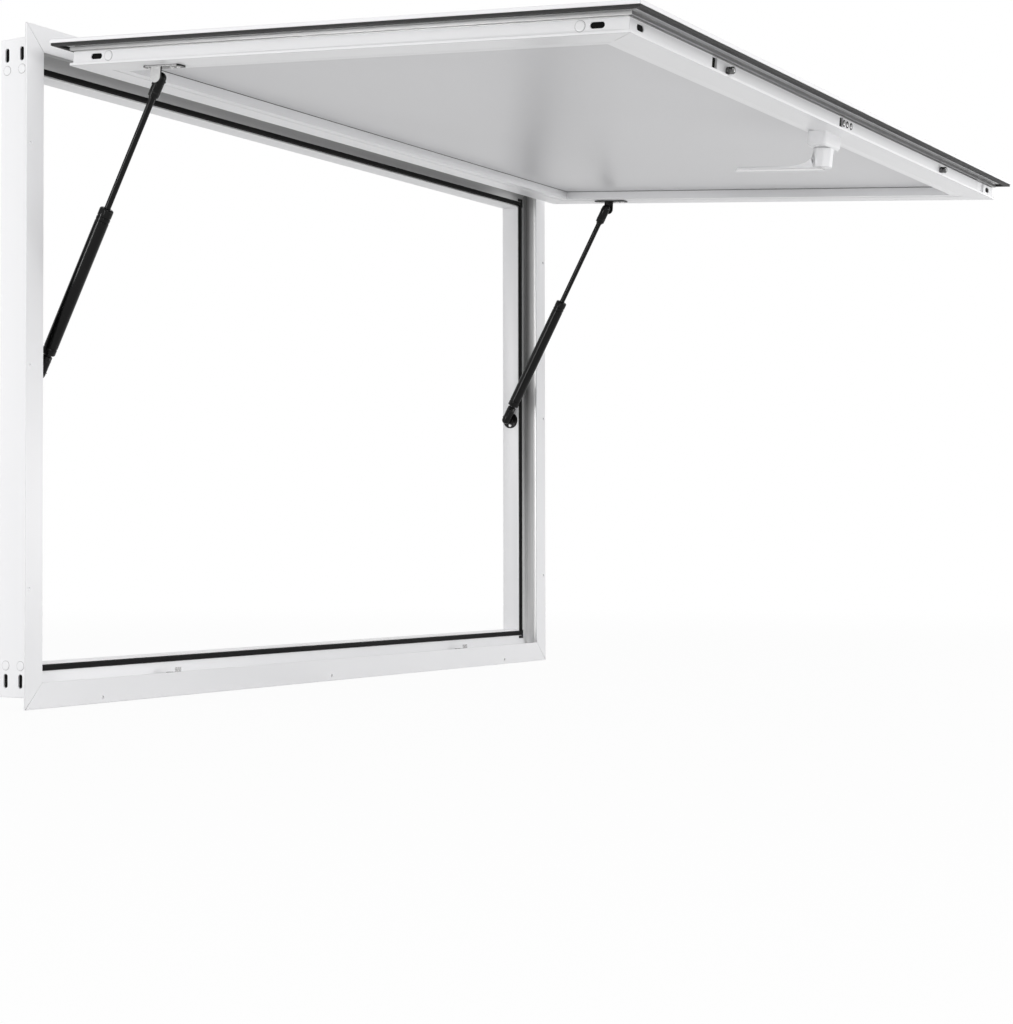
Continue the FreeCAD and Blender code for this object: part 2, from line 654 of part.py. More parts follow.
def strut_stud(sign):
    """Round flange screwed to the jamb, with the boss that carries the foot."""
    wall = sign * value(f"{HALF_WIDTH} - Sizes.stop_reach")
    reach = value("Sizes.strut_inboard - Sizes.socket_radius - Sizes.stud_end_gap")
    disc = value("Sizes.stud_disc_height")
    boss = value("Sizes.stud_boss_height")
    profile = [(0, 0), (value("Sizes.stud_disc_radius"), 0), (value("Sizes.stud_disc_radius"), disc),
               (value("Sizes.stud_boss_radius"), disc), (value("Sizes.stud_boss_radius"), boss),
               (neck_radius, boss), (neck_radius, reach), (0, reach)]
    to_wall = moved(wall, foot_y, foot_z).multiply(turned(V(0, 1, 0), -90 * sign))
    return revolved(profile).transformGeometry(to_wall.toMatrix())


def strut_bracket(centre, sign):
    """Screwed plate on the stile's back with a leg that carries the ball."""
    width, leg = value("Sizes.bracket_width"), value("Sizes.bracket_leg")
    length, thick = value("Sizes.bracket_length"), value("Sizes.bracket_plate")
    leg_width = value("Sizes.bracket_leg_width")
    leg_face = centre + sign * value("Sizes.socket_radius + Sizes.bracket_leg_gap")
    outer = leg_face + sign * leg
    high = pivot_z + value("Sizes.bracket_rear")
    plate = Part.makeBox(width, thick, length,
                         V(min(outer, outer - sign * width), leaf_back, high - length))
    plate = plate.makeFillet(value("Sizes.bracket_corner"), edges_along(plate, V(0, 1, 0)))
    for index in range(2):
        hole_z = pivot_z - value(f"Sizes.bracket_screw_first - {index} * Sizes.bracket_screw_pitch")
        plate = plate.cut(Part.makeCylinder(value("Sizes.bracket_screw_radius"), thick,
                                            V(outer - sign * width / 2, leaf_back, hole_z), V(0, 1, 0)))
    tongue = Part.makeBox(leg, pivot_y - leaf_back, leg_width,
                          V(min(leg_face, outer), leaf_back, pivot_z - leg_width / 2))
    tongue = tongue.fuse(Part.makeCylinder(leg_width / 2, leg,
                                           V(min(leg_face, outer), pivot_y, pivot_z), V(1, 0, 0)))
    pivot = V(centre, pivot_y, pivot_z)
    neck = Part.makeCylinder(neck_radius, abs(leg_face - centre), pivot, V(sign, 0, 0))
    return plate.multiFuse([tongue, neck, Part.makeSphere(ball_radius, pivot)]).removeSplitter()


for side, sign in (("left", -1), ("right", 1)):
    centre = sign * value(STRUT_X)
    outboard = V(sign, 0, 0)
    strut = moved(centre, foot_y, foot_z).multiply(turned(V(1, 0, 0), strut_tilt))
    head = strut.multiply(moved(0, 0, strut_length)).multiply(turned(V(1, 0, 0), 180))
    keep_shape(f"strut_tube_{side}", strut_tube(), strut)
    keep_shape(f"strut_rod_{side}", strut_rod(), strut)
    keep_shape(f"strut_foot_socket_{side}", strut_socket(outboard), strut)
    keep_shape(f"strut_rod_socket_{side}", strut_socket(outboard), head)
    keep_shape(f"strut_stud_{side}", strut_stud(sign))
    keep_shape(f"strut_bracket_{side}", strut_bracket(centre, sign), SWING)

# Lock bars in the front rail's channel, joined behind by the link plate, with a roller on each
lip_low = value("Sizes.lip_low_margin")
bar_face = lip_low + value(FACE_DEEP)
bar_back = bar_face + value("Sizes.bar_thickness")
fit = value("Sizes.bar_clearance")
bar_front_y = leaf_face + value("Sizes.groove_foot") + fit
bar_width = value("Sizes.face_foot - Sizes.groove_foot") - 2 * fit
roller_radius = value("Sizes.roller_radius")
roller_y = leaf_face + value("Sizes.roller_level")
roller_tip = lip_low + value("Sizes.lip_reach - Sizes.roller_reach")
bar_ends = {"left": (-value("Sizes.bar_outer_end"), -value("Sizes.bar_left_start")),
            "right": (-value("Sizes.bar_right_start"), value("Sizes.bar_far_end"))}
for side, sign in (("left", -1), ("right", 1)):
    first, last = bar_ends[side]
    bar = Part.makeBox(last - first, bar_width, bar_back - bar_face, V(first, bar_front_y, bar_face))
    keep_shape(f"lock_bar_{side}", bar, SWING)
    roller_x = sign * value(f"Sizes.roller_{side}")
    roller = Part.makeCylinder(roller_radius, bar_face - roller_tip, V(roller_x, roller_y, roller_tip))
    tip = [e for e in roller.Edges if abs(e.BoundBox.ZMax - roller_tip) < 0.01]
    keep_shape(f"lock_roller_{side}", roller.makeChamfer(value("Sizes.roller_edge"), tip), SWING)
link_reach = value("Sizes.link_overlap")
link_first = -value("Sizes.bar_left_start") - link_reach
link_last = -value("Sizes.bar_right_start") + link_reach
link_y = leaf_face + value(FACE_MIDDLE) - value("Sizes.link_width") / 2
link = Part.makeBox(link_last - link_first, value("Sizes.link_width"), value("Sizes.link_thickness"),
                    V(link_first, link_y, bar_back))
keep_shape("lock_link_plate", link, SWING)

# Handle on the front rail: screwed base, turning eight-sided drum and cranked lever
handle_x = value("Sizes.handle_offset")
handle_z = lip_low + value("Sizes.handle_from_edge")
base_length, base_width = value("Sizes.handle_base_length"), value("Sizes.handle_base_width")
base_height = value("Sizes.handle_base_height")
base = Part.makeBox(base_length, base_height, base_width,
                    V(handle_x - base_length / 2, leaf_back, handle_z - base_width / 2))
base = base.makeFillet(value("Sizes.handle_base_corner"), edges_along(base, V(0, 1, 0)))
rim = [e for e in base.Edges if e.BoundBox.YMin > leaf_back + base_height - 0.01]
keep_shape("handle_base", base.makeChamfer(value("Sizes.handle_base_chamfer"), rim), SWING)

drum_foot = leaf_back + base_height + value("Sizes.handle_running_gap")
drum_top = drum_foot + value("Sizes.handle_drum_height")


def drum_ring(radius, y):
    """Eight-sided wire round the handle's axis."""
    turns = [math.radians(45 * index + 22.5) for index in range(8)]
    points = [V(handle_x + radius * math.cos(t), y, handle_z + radius * math.sin(t)) for t in turns]
    return Part.makePolygon(points + points[:1])


drum = Part.makeLoft([drum_ring(value("Sizes.handle_drum_radius"), drum_foot),
                      drum_ring(value("Sizes.handle_drum_foot_radius"), drum_top)], True)


def lever():
    """Flat lever whose inner side rises to the drum in a hollow curve; tapered, with a round tip."""
    low = drum_top + value("Sizes.lever_drop")
    blade = low - value("Sizes.lever_thickness")
    root = low - value("Sizes.lever_gusset_height")
    start = handle_z + value("Sizes.lever_root")
    bend = handle_z + value("Sizes.handle_drum_radius + Sizes.lever_gusset_length")
    end = handle_z + value("Sizes.lever_length")
    hollow = V(0, blade - (blade - root) * value("Sizes.lever_hollow"),
               bend - (bend - start) * value("Sizes.lever_hollow_place"))
    corners = [V(0, blade, bend), V(0, blade, end), V(0, low, end), V(0, low, handle_z),
               V(0, root, handle_z), V(0, root, start)]
    edges = [Part.makeLine(one, other) for one, other in zip(corners, corners[1:])]
    edges.append(Part.Arc(corners[-1], hollow, corners[0]).toShape())
    wide = value("Sizes.lever_root_width")
    side_view = Part.Face(Part.Wire(edges)).extrude(V(wide, 0, 0))
    side_view.translate(V(handle_x - wide / 2, 0, 0))
    tip = value("Sizes.lever_tip_width") / 2
    plan = prism([V(handle_x - wide / 2, root, handle_z), V(handle_x + wide / 2, root, handle_z),
                  V(handle_x + tip, root, end - tip), V(handle_x - tip, root, end - tip)],
                 V(0, low - root, 0))
    plan = plan.fuse(Part.makeCylinder(tip, low - root, V(handle_x, root, end - tip), V(0, 1, 0)))
    return side_view.common(plan)


keep_shape("handle_lever", drum.fuse(lever()).removeSplitter(), SWING)

# Keepers on the sill's ridge, beside the rollers while the lock is open
keeper_length = value("Sizes.keeper_length")
keeper_floor = value("Sizes.rebate_wall + Sizes.rebate_ridge")
keeper_front = value(f"{RETURN_BACK} + Sizes.keeper_front")
for side, sign in (("left", -1), ("right", 1)):
    left = sign * value(f"Sizes.roller_{side}") + value("Sizes.lock_travel") - keeper_length / 2
    depth, plate = value("Sizes.keeper_depth"), value("Sizes.keeper_plate")
    hook, thick = value("Sizes.keeper_hook"), value("Sizes.keeper_hook_thickness")
    bend = value("Sizes.keeper_bend")
    section = [V(left, keeper_front, keeper_floor + bend), V(left, keeper_front + bend, keeper_floor),
               V(left, keeper_front + depth, keeper_floor), V(left, keeper_front + depth, keeper_floor + plate),
               V(left, keeper_front + thick, keeper_floor + plate),
               V(left, keeper_front + thick, keeper_floor + hook), V(left, keeper_front, keeper_floor + hook)]
    keep_shape(f"keeper_{side}", prism(section, V(keeper_length, 0, 0)))

doc.recompute()

for thing in doc.Objects:
    if "Invalid" in thing.State or "Error" in thing.State:
        raise RuntimeError(f"{thing.Label} did not compute: {thing.State}")
for piece in parts:
    if piece.Shape.isNull() or not piece.Shape.isValid():
        raise RuntimeError(f"{piece.Label} has no valid shape")

os.makedirs("parts", exist_ok=True)
for piece in parts:
    piece.Shape.exportStep(f"parts/{piece.Label}.step")
print(f"{len(parts)} pieces, strut {strut_length:.1f} mm, tube {tube_length:.1f} mm")
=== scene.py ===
import json
import math

import bmesh
import bpy
from mathutils import Matrix, Vector


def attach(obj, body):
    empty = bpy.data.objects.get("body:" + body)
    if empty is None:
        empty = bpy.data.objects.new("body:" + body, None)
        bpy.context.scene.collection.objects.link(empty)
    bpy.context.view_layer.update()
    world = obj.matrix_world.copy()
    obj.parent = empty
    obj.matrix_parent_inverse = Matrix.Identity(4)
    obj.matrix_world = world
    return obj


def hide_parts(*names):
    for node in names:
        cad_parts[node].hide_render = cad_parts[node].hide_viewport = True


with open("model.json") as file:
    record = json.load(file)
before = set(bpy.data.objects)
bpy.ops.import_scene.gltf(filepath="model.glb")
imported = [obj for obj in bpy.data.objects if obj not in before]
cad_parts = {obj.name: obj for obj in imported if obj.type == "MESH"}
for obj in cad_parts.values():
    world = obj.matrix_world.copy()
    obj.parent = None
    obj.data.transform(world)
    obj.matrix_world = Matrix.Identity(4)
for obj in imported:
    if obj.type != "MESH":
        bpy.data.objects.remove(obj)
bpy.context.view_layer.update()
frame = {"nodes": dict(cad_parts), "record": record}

nodes = frame["nodes"]
record = frame["record"]
slotOf = {entry["node"]: entry["material_slot"] for entry in record["subparts"]}
bodyOf = {node: body for body, held in record["behaviour"]["bodies"].items() for node in held}
mm = 0.001
print("frame loaded:", len(nodes), "nodes")


# Shader sums: a socket that adds its own Math nodes
class Socket:
    def __init__(self, shader, socket):
        self.shader = shader
        self.socket = socket

    def sum(self, operation, other, flipped=False):
        first, second = (other, self) if flipped else (self, other)
        return self.shader.node("ShaderNodeMath", {"operation": operation}, {0: first, 1: second})

    def __add__(self, other):
        return self.sum("ADD", other)

    def __radd__(self, other):
        return self.sum("ADD", other, True)

    def __sub__(self, other):
        return self.sum("SUBTRACT", other)

    def __rsub__(self, other):
        return self.sum("SUBTRACT", other, True)

    def __mul__(self, other):
        return self.sum("MULTIPLY", other)

    def __rmul__(self, other):
        return self.sum("MULTIPLY", other, True)

    def __truediv__(self, other):
        return self.sum("DIVIDE", other)

    def __rtruediv__(self, other):
        return self.sum("DIVIDE", other, True)

    def __pow__(self, other):
        return self.sum("POWER", other)


class Shader:
    names = {"colour": "Base Color", "roughness": "Roughness", "metallic": "Metallic", "normal": "Normal",
             "gloss": "Specular IOR Level"}

    def __init__(self, name):
        self.material = bpy.data.materials.new(name)
        self.material.use_nodes = True
        self.tree = self.material.node_tree
        self.tree.nodes.clear()
        self.surface = self.tree.nodes.new("ShaderNodeBsdfPrincipled")
        self.output = self.tree.nodes.new("ShaderNodeOutputMaterial")
        self.tree.links.new(self.surface.outputs[0], self.output.inputs["Surface"])

    def put(self, socket, value):
        if isinstance(value, Socket):
            self.tree.links.new(value.socket, socket)
        else:
            socket.default_value = value

    def node(self, kind, settings, values, output=0):
        made = self.tree.nodes.new(kind)
        for name, setting in settings.items():
            if name == "stops":
                ramp = made.color_ramp
                while len(ramp.elements) < len(setting):
                    ramp.elements.new(0.5)
                for element, (place, colour) in zip(ramp.elements, setting):
                    element.position = place
                    element.color = colour
            else:
                setattr(made, name, setting)
        for name, value in values.items():
            self.put(made.inputs[name], value)
        return Socket(self, made.outputs[output])

    def finish(self, **values):
        for name, value in values.items():
            self.put(self.surface.inputs[self.names[name]], value)
        return self.material

    def place(self):
        return self.node("ShaderNodeTexCoord", {}, {}, "Object")

    def stretched(self, scale):
        return self.node("ShaderNodeMapping", {}, {"Vector": self.place(), "Scale": scale})

    def noise(self, scale, detail, vector=None, roughness=0.55):
        return self.node("ShaderNodeTexNoise", {},
                         {"Vector": vector or self.place(), "Scale": scale, "Detail": detail,
                          "Roughness": roughness}, "Fac")

    def blend(self, factor, first, second):
        made = self.tree.nodes.new("ShaderNodeMix")
        made.data_type = "RGBA"
        for index, value in ((0, factor), (6, first), (7, second)):
            self.put(made.inputs[index], value)
        return Socket(self, made.outputs[2])

    def bump(self, height, distance, strength):
        return self.node("ShaderNodeBump", {}, {"Height": height, "Distance": distance, "Strength": strength},
                         "Normal")


def grey(level, blue=0.0):
    return (level, level, level * (1 + blue), 1.0)


# Powder coat: fine orange peel and a faint cloud in its tone
coatLook = {"level": 0.82, "drift": 0.015, "blue": 0.014, "roughness": 0.3, "cloud": 3.0, "cloudSheen": 0.05,
            "fine": 900.0, "fineSheen": 0.08, "peel": 0.00002, "strength": 0.5}


def makeWhiteCoat(name="whiteCoat", level=coatLook["level"], roughness=coatLook["roughness"]):
    shader = Shader(name)
    cloud = shader.noise(coatLook["cloud"], 2.0)
    fine = shader.noise(coatLook["fine"], 2.0)
    dull, pale = (grey(level * (1 + sign * coatLook["drift"]), coatLook["blue"]) for sign in (-1, 1))
    sheen = roughness + (fine - 0.5) * coatLook["fineSheen"] + (cloud - 0.5) * coatLook["cloudSheen"]
    return shader.finish(colour=shader.blend(cloud, dull, pale), roughness=sheen,
                         normal=shader.bump(fine, coatLook["peel"], coatLook["strength"]))


# Satin aluminium drawn along each member, used as painted shade in the rebate and under the lip where shade
# falls; in the rebate it is darker towards the stop
satinShadeLook = {"low": 0.62, "high": 0.84, "roughness": 0.36, "sheen": 0.1, "draw": 1400.0, "cloud": 9.0,
             "lineShare": 0.7, "relief": 0.000006, "strength": 0.5, "rebate": 0.0215, "fade": (0.05, 0.45),
             "lift": 0.6, "bands": (0.2, 330.0, 0.2), "bandShare": 0.35,
             "upright": [(0.0, 1.15), (0.3, 1.15), (0.5, 0.9), (0.7, 0.68), (0.85, 0.44), (1.0, 0.36)],
             "across": [(0.0, 0.95), (0.5, 0.8), (1.0, 0.72)]}


def makeSatinWithShade(name, scale, level=1.0, ramp=None, metallic=1.0):
    shader = Shader(name)
    lines = shader.noise(1.0, 3.0, shader.stretched(tuple(part * satinShadeLook["draw"] for part in scale)), 0.6)
    cloud = shader.noise(satinShadeLook["cloud"], 2.0)
    mixed = lines * satinShadeLook["lineShare"] + cloud * (1 - satinShadeLook["lineShare"])
    colour = shader.blend(mixed, grey(satinShadeLook["low"] * level), grey(satinShadeLook["high"] * level))
    if ramp:  # painted shade: darker with depth into the rebate, less so near the sill, where the open leaf's shadow is thinner
        low, top = satinShadeLook["fade"]
        height = shader.node("ShaderNodeSeparateXYZ", {}, {0: shader.place()}, "Z")
        lift = shader.node("ShaderNodeMapRange", {}, {"Value": height, "From Min": low, "From Max": top,
                                                      "To Min": satinShadeLook["lift"], "To Max": 0.0})
        back = shader.node("ShaderNodeSeparateXYZ", {}, {0: shader.place()}, "Y")
        depth = back / satinShadeLook["rebate"] - lift
        bands = shader.noise(1.0, 1.0, shader.stretched(satinShadeLook["bands"]), 0.4)
        shadeRamp = shader.node("ShaderNodeValToRGB",
                             {"stops": [(place, grey(shade)) for place, shade in satinShadeLook[ramp]]},
                             {"Fac": depth + (bands - 0.5) * satinShadeLook["bandShare"]})
        colour = shader.node("ShaderNodeVectorMath", {"operation": "MULTIPLY"}, {0: colour, 1: shadeRamp})
    return shader.finish(colour=colour, metallic=metallic,
                         roughness=satinShadeLook["roughness"] + (lines - 0.5) * satinShadeLook["sheen"],
                         normal=shader.bump(lines, satinShadeLook["relief"], satinShadeLook["strength"]))


# The leaf's sheet: smooth, with a long faint grain
panelLook = {"low": 0.63, "high": 0.67, "blue": 0.02, "roughness": 0.34, "sheen": 0.08, "gloss": 0.4,
             "cloud": 2.2, "cloudShare": 0.6, "grain": 60.0, "draw": (0.4, 14.0, 14.0),
             "relief": 0.000008, "strength": 0.3}


def makePanelSheet():
    shader = Shader("panelSheet")
    cloud = shader.noise(panelLook["cloud"], 2.0)
    grain = shader.noise(panelLook["grain"], 3.0, shader.stretched(panelLook["draw"]))
    mixed = cloud * panelLook["cloudShare"] + grain * (1 - panelLook["cloudShare"])
    dull, pale = (grey(panelLook[end], panelLook["blue"]) for end in ("low", "high"))
    return shader.finish(colour=shader.blend(mixed, dull, pale), gloss=panelLook["gloss"],
                         roughness=panelLook["roughness"] + (grain - 0.5) * panelLook["sheen"],
                         normal=shader.bump(grain, panelLook["relief"], panelLook["strength"]))


# Rubber: matt and finely grained; its paler versions also make the gasket and the plugs' painted shadow
# lines, and its blackest version the painted shade in slots and recesses
rubberLook = {"grain": 700.0, "cloud": 12.0, "roughness": 0.55, "sheen": 0.15, "relief": 0.00004,
              "strength": 0.6}


def makeRubber(name="sealRubber", low=0.004, high=0.009, gloss=0.1):
    shader = Shader(name)
    grain = shader.noise(rubberLook["grain"], 2.0)
    cloud = shader.noise(rubberLook["cloud"], 2.0)
    return shader.finish(colour=shader.blend(cloud, grey(low), grey(high)), gloss=gloss,
                         roughness=rubberLook["roughness"] + grain * rubberLook["sheen"],
                         normal=shader.bump(grain, rubberLook["relief"], rubberLook["strength"]))


# Black enamel on the struts and the dark steel pieces
enamelLook = {"cloud": 18.0, "fine": 30.0, "sheen": 0.06}


def makeEnamel(name="strutEnamel", low=0.002, high=0.004, roughness=0.14, gloss=0.17):
    shader = Shader(name)
    cloud = shader.noise(enamelLook["cloud"], 3.0)
    fine = shader.noise(enamelLook["fine"], 2.0)
    return shader.finish(colour=shader.blend(cloud, grey(low), grey(high)), gloss=gloss,
                         roughness=roughness + fine * enamelLook["sheen"])


# Bare and plated steel
steelLook = {"grain": 300.0, "sheen": 0.12, "relief": 0.00001, "strength": 0.4}


def makeSteel(name, low, high, roughness):
    shader = Shader(name)
    grain = shader.noise(steelLook["grain"], 3.0)
    return shader.finish(colour=shader.blend(grain, grey(low), grey(high)), metallic=1.0,
                         roughness=roughness + (grain - 0.5) * steelLook["sheen"],
                         normal=shader.bump(grain, steelLook["relief"], steelLook["strength"]))


finishes = {
    "white_frame": makeWhiteCoat(),
    "bar_white": makeWhiteCoat("barCoat", level=0.74),
    "handle_white": makeWhiteCoat("handleCoat", level=0.80, roughness=0.2),
    "panel_white": makePanelSheet(),
    "seal_rubber": makeRubber(),
    "strut_black": makeEnamel(),
    "steel_dark": makeEnamel("blackSteel", low=0.004, high=0.009, roughness=0.22, gloss=0.2),
    "rod_steel": makeEnamel("rodNitride", roughness=0.12),
    "steel_bright": makeSteel("pinSteel", low=0.5, high=0.62, roughness=0.3),
    "roller_steel": makeSteel("rollerSteel", low=0.05, high=0.22, roughness=0.18),
    "keeper_steel": makeSteel("keeperSteel", low=0.34, high=0.50, roughness=0.28),
}
extras = {
    # Painted shade: darker satin metal for the rebate of head and jambs and for the band under the sash's lip
    "rebateShadeAcross": makeSatinWithShade("rebateShadeAcross", (0.02, 1.0, 1.0), ramp="across"),
    "rebateShadeUpright": makeSatinWithShade("rebateShadeUpright", (1.0, 1.0, 0.02), ramp="upright", metallic=0.45),
    "underLipShadeAcross": makeSatinWithShade("underLipShadeAcross", (0.02, 1.0, 1.0), level=0.4),
    "underLipShadeDeep": makeSatinWithShade("underLipShadeDeep", (1.0, 0.02, 1.0), level=0.7),
    # Zinc for the roller caps, and the painted highlight on the strut brackets' legs
    "zincAndSheen": makeSteel("zincPlateAndSheen", low=0.30, high=0.44, roughness=0.36),
    # Painted shade: flat black that stands for the shade inside slots, gaps and recesses
    "recess": makeRubber("slotShadeBlack", low=0.003, high=0.006, gloss=0.05),
    "lipRubber": makeRubber("lipRubber", low=0.012, high=0.022, gloss=0.35),
    "plugShadeRing": makeRubber("plugShadeRing", low=0.30, high=0.38, gloss=0.3),
    "gasket": makeRubber("gasketGrey", low=0.05, high=0.09, gloss=0.3),
}
for name, node in nodes.items():
    finish = finishes[slotOf[name]]
    if name.startswith("lip_seal"):
        finish = extras["lipRubber"]
    # Painted shade: the link plate under the gap between the lock bars is made black, for the deep gap's
    # shade
    if name == "lock_link_plate":
        finish = finishes["steel_dark"]
    if not node.material_slots:
        node.data.materials.append(finish)
    for held in node.material_slots:
        held.material = finish
print("finishes set:", len(finishes) + len(extras))


# Places: the leaf's closed position, and the turn that opens it
leaf = {"hinge": (0.0, -17.5, 819.0), "open": 85.4, "low": 22.3, "top": 813.0, "half": 654.9,
        "face": -16.0, "back": 13.5}
hinge = Vector(leaf["hinge"]) * mm
swing = Matrix.Translation(hinge) @ Matrix.Rotation(math.radians(-leaf["open"]), 4, "X") \
    @ Matrix.Translation(-hinge)
shut = swing.inverted()
wide, high = 1346.0, 838.0


def at(x, y, z):
    return Matrix.Translation(Vector((x, y, z)) * mm)


def facing(axis, degrees):
    return Matrix.Rotation(math.radians(degrees), 4, axis)


def addPiece(name, mesh, body, slot, finish=None, standsFor=()):
    piece = bpy.data.objects.new(name, mesh)
    bpy.context.scene.collection.objects.link(piece)
    if not mesh.materials:
        mesh.materials.append(finish or finishes[slot])
    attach(piece, body)
    if standsFor:
        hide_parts(*standsFor)
    return piece


# Above these angles an edge stays sharp
crease = {"eased": 32, "turned": 38, "plate": 30, "wire": 50}


def smoothed(mesh, degrees):
    mesh.polygons.foreach_set("use_smooth", [True] * len(mesh.polygons))
    mesh.set_sharp_from_angle(angle=math.radians(degrees))
    return mesh


# A shape made a mesh, its faces turned outwards
def meshOf(shape, name, place=None):
    bmesh.ops.recalc_face_normals(shape, faces=shape.faces)
    if place is not None:
        shape.transform(place)
    mesh = bpy.data.meshes.new(name)
    shape.to_mesh(mesh)
    shape.free()
    return mesh


# A copy of a CAD piece: flat faces joined, edges eased, and the faces a mask picks in a second finish, here
# painted shade in the rebates and under the lip and a painted highlight on the bracket legs
easing = {"weld": 2e-6, "flat": math.radians(0.5), "bend": 0.45, "share": 0.34}


def softened(name, width, shortest, paintedLightAt=None, inks=(), retreat=None, segments=2):
    mesh = nodes[name].data.copy()
    mesh.name = name + "Eased"
    shape = bmesh.new()
    shape.from_mesh(mesh)
    bmesh.ops.remove_doubles(shape, verts=shape.verts, dist=easing["weld"])
    bmesh.ops.dissolve_limit(shape, angle_limit=easing["flat"], verts=shape.verts, edges=shape.edges)
    if retreat:  # the mitred ends stand back a hair, which leaves the seam
        axis, gap = retreat
        low = min(vert.co[axis] for vert in shape.verts)
        top = max(vert.co[axis] for vert in shape.verts)
        for vert in shape.verts:
            vert.co[axis] -= (vert.co[axis] - (low + top) / 2) / ((top - low) / 2) * gap * mm
    shape.normal_update()
    weights = shape.edges.layers.float.new("bevel_weight_edge")
    for edge in shape.edges:
        length = edge.calc_length()
        if len(edge.link_faces) != 2 or length < shortest * mm or edge.calc_face_angle(0) < easing["bend"]:
            continue
        start, along = edge.verts[0].co, (edge.verts[1].co - edge.verts[0].co) / length
        narrow = min(max(((vert.co - start) - (vert.co - start).dot(along) * along).length
                         for vert in face.verts) for face in edge.link_faces)
        edge[weights] = min(1.0, easing["share"] * narrow / (width * mm))
    for face in shape.faces:
        face.material_index = paintedLightAt(face.calc_center_median(), face.normal) if paintedLightAt else 0
    mesh.materials.clear()  # before the faces come in, since it sets every face back to the first
    for ink in [finishes[slotOf[name]], *inks]:
        mesh.materials.append(ink)
    shape.to_mesh(mesh)
    shape.free()
    piece = addPiece(name + "Eased", mesh, bodyOf[name], slotOf[name], standsFor=[name])
    smoothed(mesh, crease["eased"])
    bevel = piece.modifiers.new("easing", "BEVEL")
    bevel.width = width * mm
    bevel.limit_method = "WEIGHT"
    bevel.segments = segments
    bevel.use_clamp_overlap = False
    bevel.harden_normals = True
    graph = bpy.context.evaluated_depsgraph_get()
    eased = bpy.data.meshes.new_from_object(piece.evaluated_get(graph))
    piece.modifiers.clear()
    piece.data = eased
    return piece


# A turned piece: radius and height pairs in mm, from one end to the other
def turned(name, profile, place, body, slot, finish=None, standsFor=(), segments=40):
    shape = bmesh.new()
    rings = []
    turns = [2 * math.pi * index / segments for index in range(segments)]
    for radius, height in profile:
        if radius == 0:
            rings.append([shape.verts.new((0, 0, height * mm))])
            continue
        rings.append([shape.verts.new((radius * mm * math.cos(turn), radius * mm * math.sin(turn),
                                       height * mm)) for turn in turns])
    for low, top in zip(rings, rings[1:]):
        for index in range(segments):
            following = (index + 1) % segments
            corners = [low[index % len(low)], low[following % len(low)], top[following % len(top)],
                       top[index % len(top)]]
            shape.faces.new(list(dict.fromkeys(corners)))  # at a point two corners are the same
    mesh = smoothed(meshOf(shape, name, place), crease["turned"])
    return addPiece(name, mesh, body, slot, finish, standsFor)


# A flat plate with an eased rim, from an outline in mm
def plate(name, outline, thickness, place, body, slot, finish=None, ease=0.3):
    shape = bmesh.new()
    centre = Vector((sum(x for x, y in outline) / len(outline), sum(y for x, y in outline) / len(outline)))
    reach = max((Vector(point) - centre).length for point in outline)
    rings = []
    for height, share in ((0, 1.0), (thickness - ease, 1.0), (thickness, 1.0 - ease / reach)):
        rings.append([shape.verts.new(((centre.x + (x - centre.x) * share) * mm,
                                       (centre.y + (y - centre.y) * share) * mm, height * mm))
                      for x, y in outline])
    for low, top in zip(rings, rings[1:]):
        for index in range(len(outline)):
            following = (index + 1) % len(outline)
            shape.faces.new((low[index], low[following], top[following], top[index]))
    shape.faces.new(rings[0])
    shape.faces.new(rings[-1])
    return addPiece(name, smoothed(meshOf(shape, name, place), crease["plate"]), body, slot, finish)


# Outlines in mm: an oblong with round ends, and a rectangle
def oblong(length, width, steps=10):
    half, radius = (length - width) / 2, width / 2
    points = []
    for side, first in ((half, -90), (-half, 90)):
        for step in range(steps + 1):
            angle = math.radians(first + 180 * step / steps)
            points.append((side + radius * math.cos(angle), radius * math.sin(angle)))
    return points


def rectangle(halfWide, halfHigh):
    return [(-halfWide, -halfHigh), (halfWide, -halfHigh), (halfWide, halfHigh), (-halfWide, halfHigh)]


# A bent wire: its line in mm, thickened and made a mesh
wireLook = {"round": 3, "order": 3, "steps": 6}


def wire(name, points, radius, place, body, slot, finish):
    line = bpy.data.curves.new(name, "CURVE")
    line.dimensions = "3D"
    line.bevel_depth = radius * mm
    line.bevel_resolution = wireLook["round"]
    line.use_fill_caps = True
    run = line.splines.new("NURBS")
    run.points.add(len(points) - 1)
    for point, spot in zip(run.points, points):
        point.co = (*(part * mm for part in spot), 1)
    run.order_u = wireLook["order"]
    run.use_endpoint_u = True
    run.resolution_u = wireLook["steps"]
    holder = bpy.data.objects.new(name + "Line", line)
    mesh = bpy.data.meshes.new_from_object(holder)
    bpy.data.objects.remove(holder)
    mesh.transform(place)
    mesh.name = name
    mesh.materials.clear()
    return addPiece(name, smoothed(mesh, crease["wire"]), body, slot, finish)


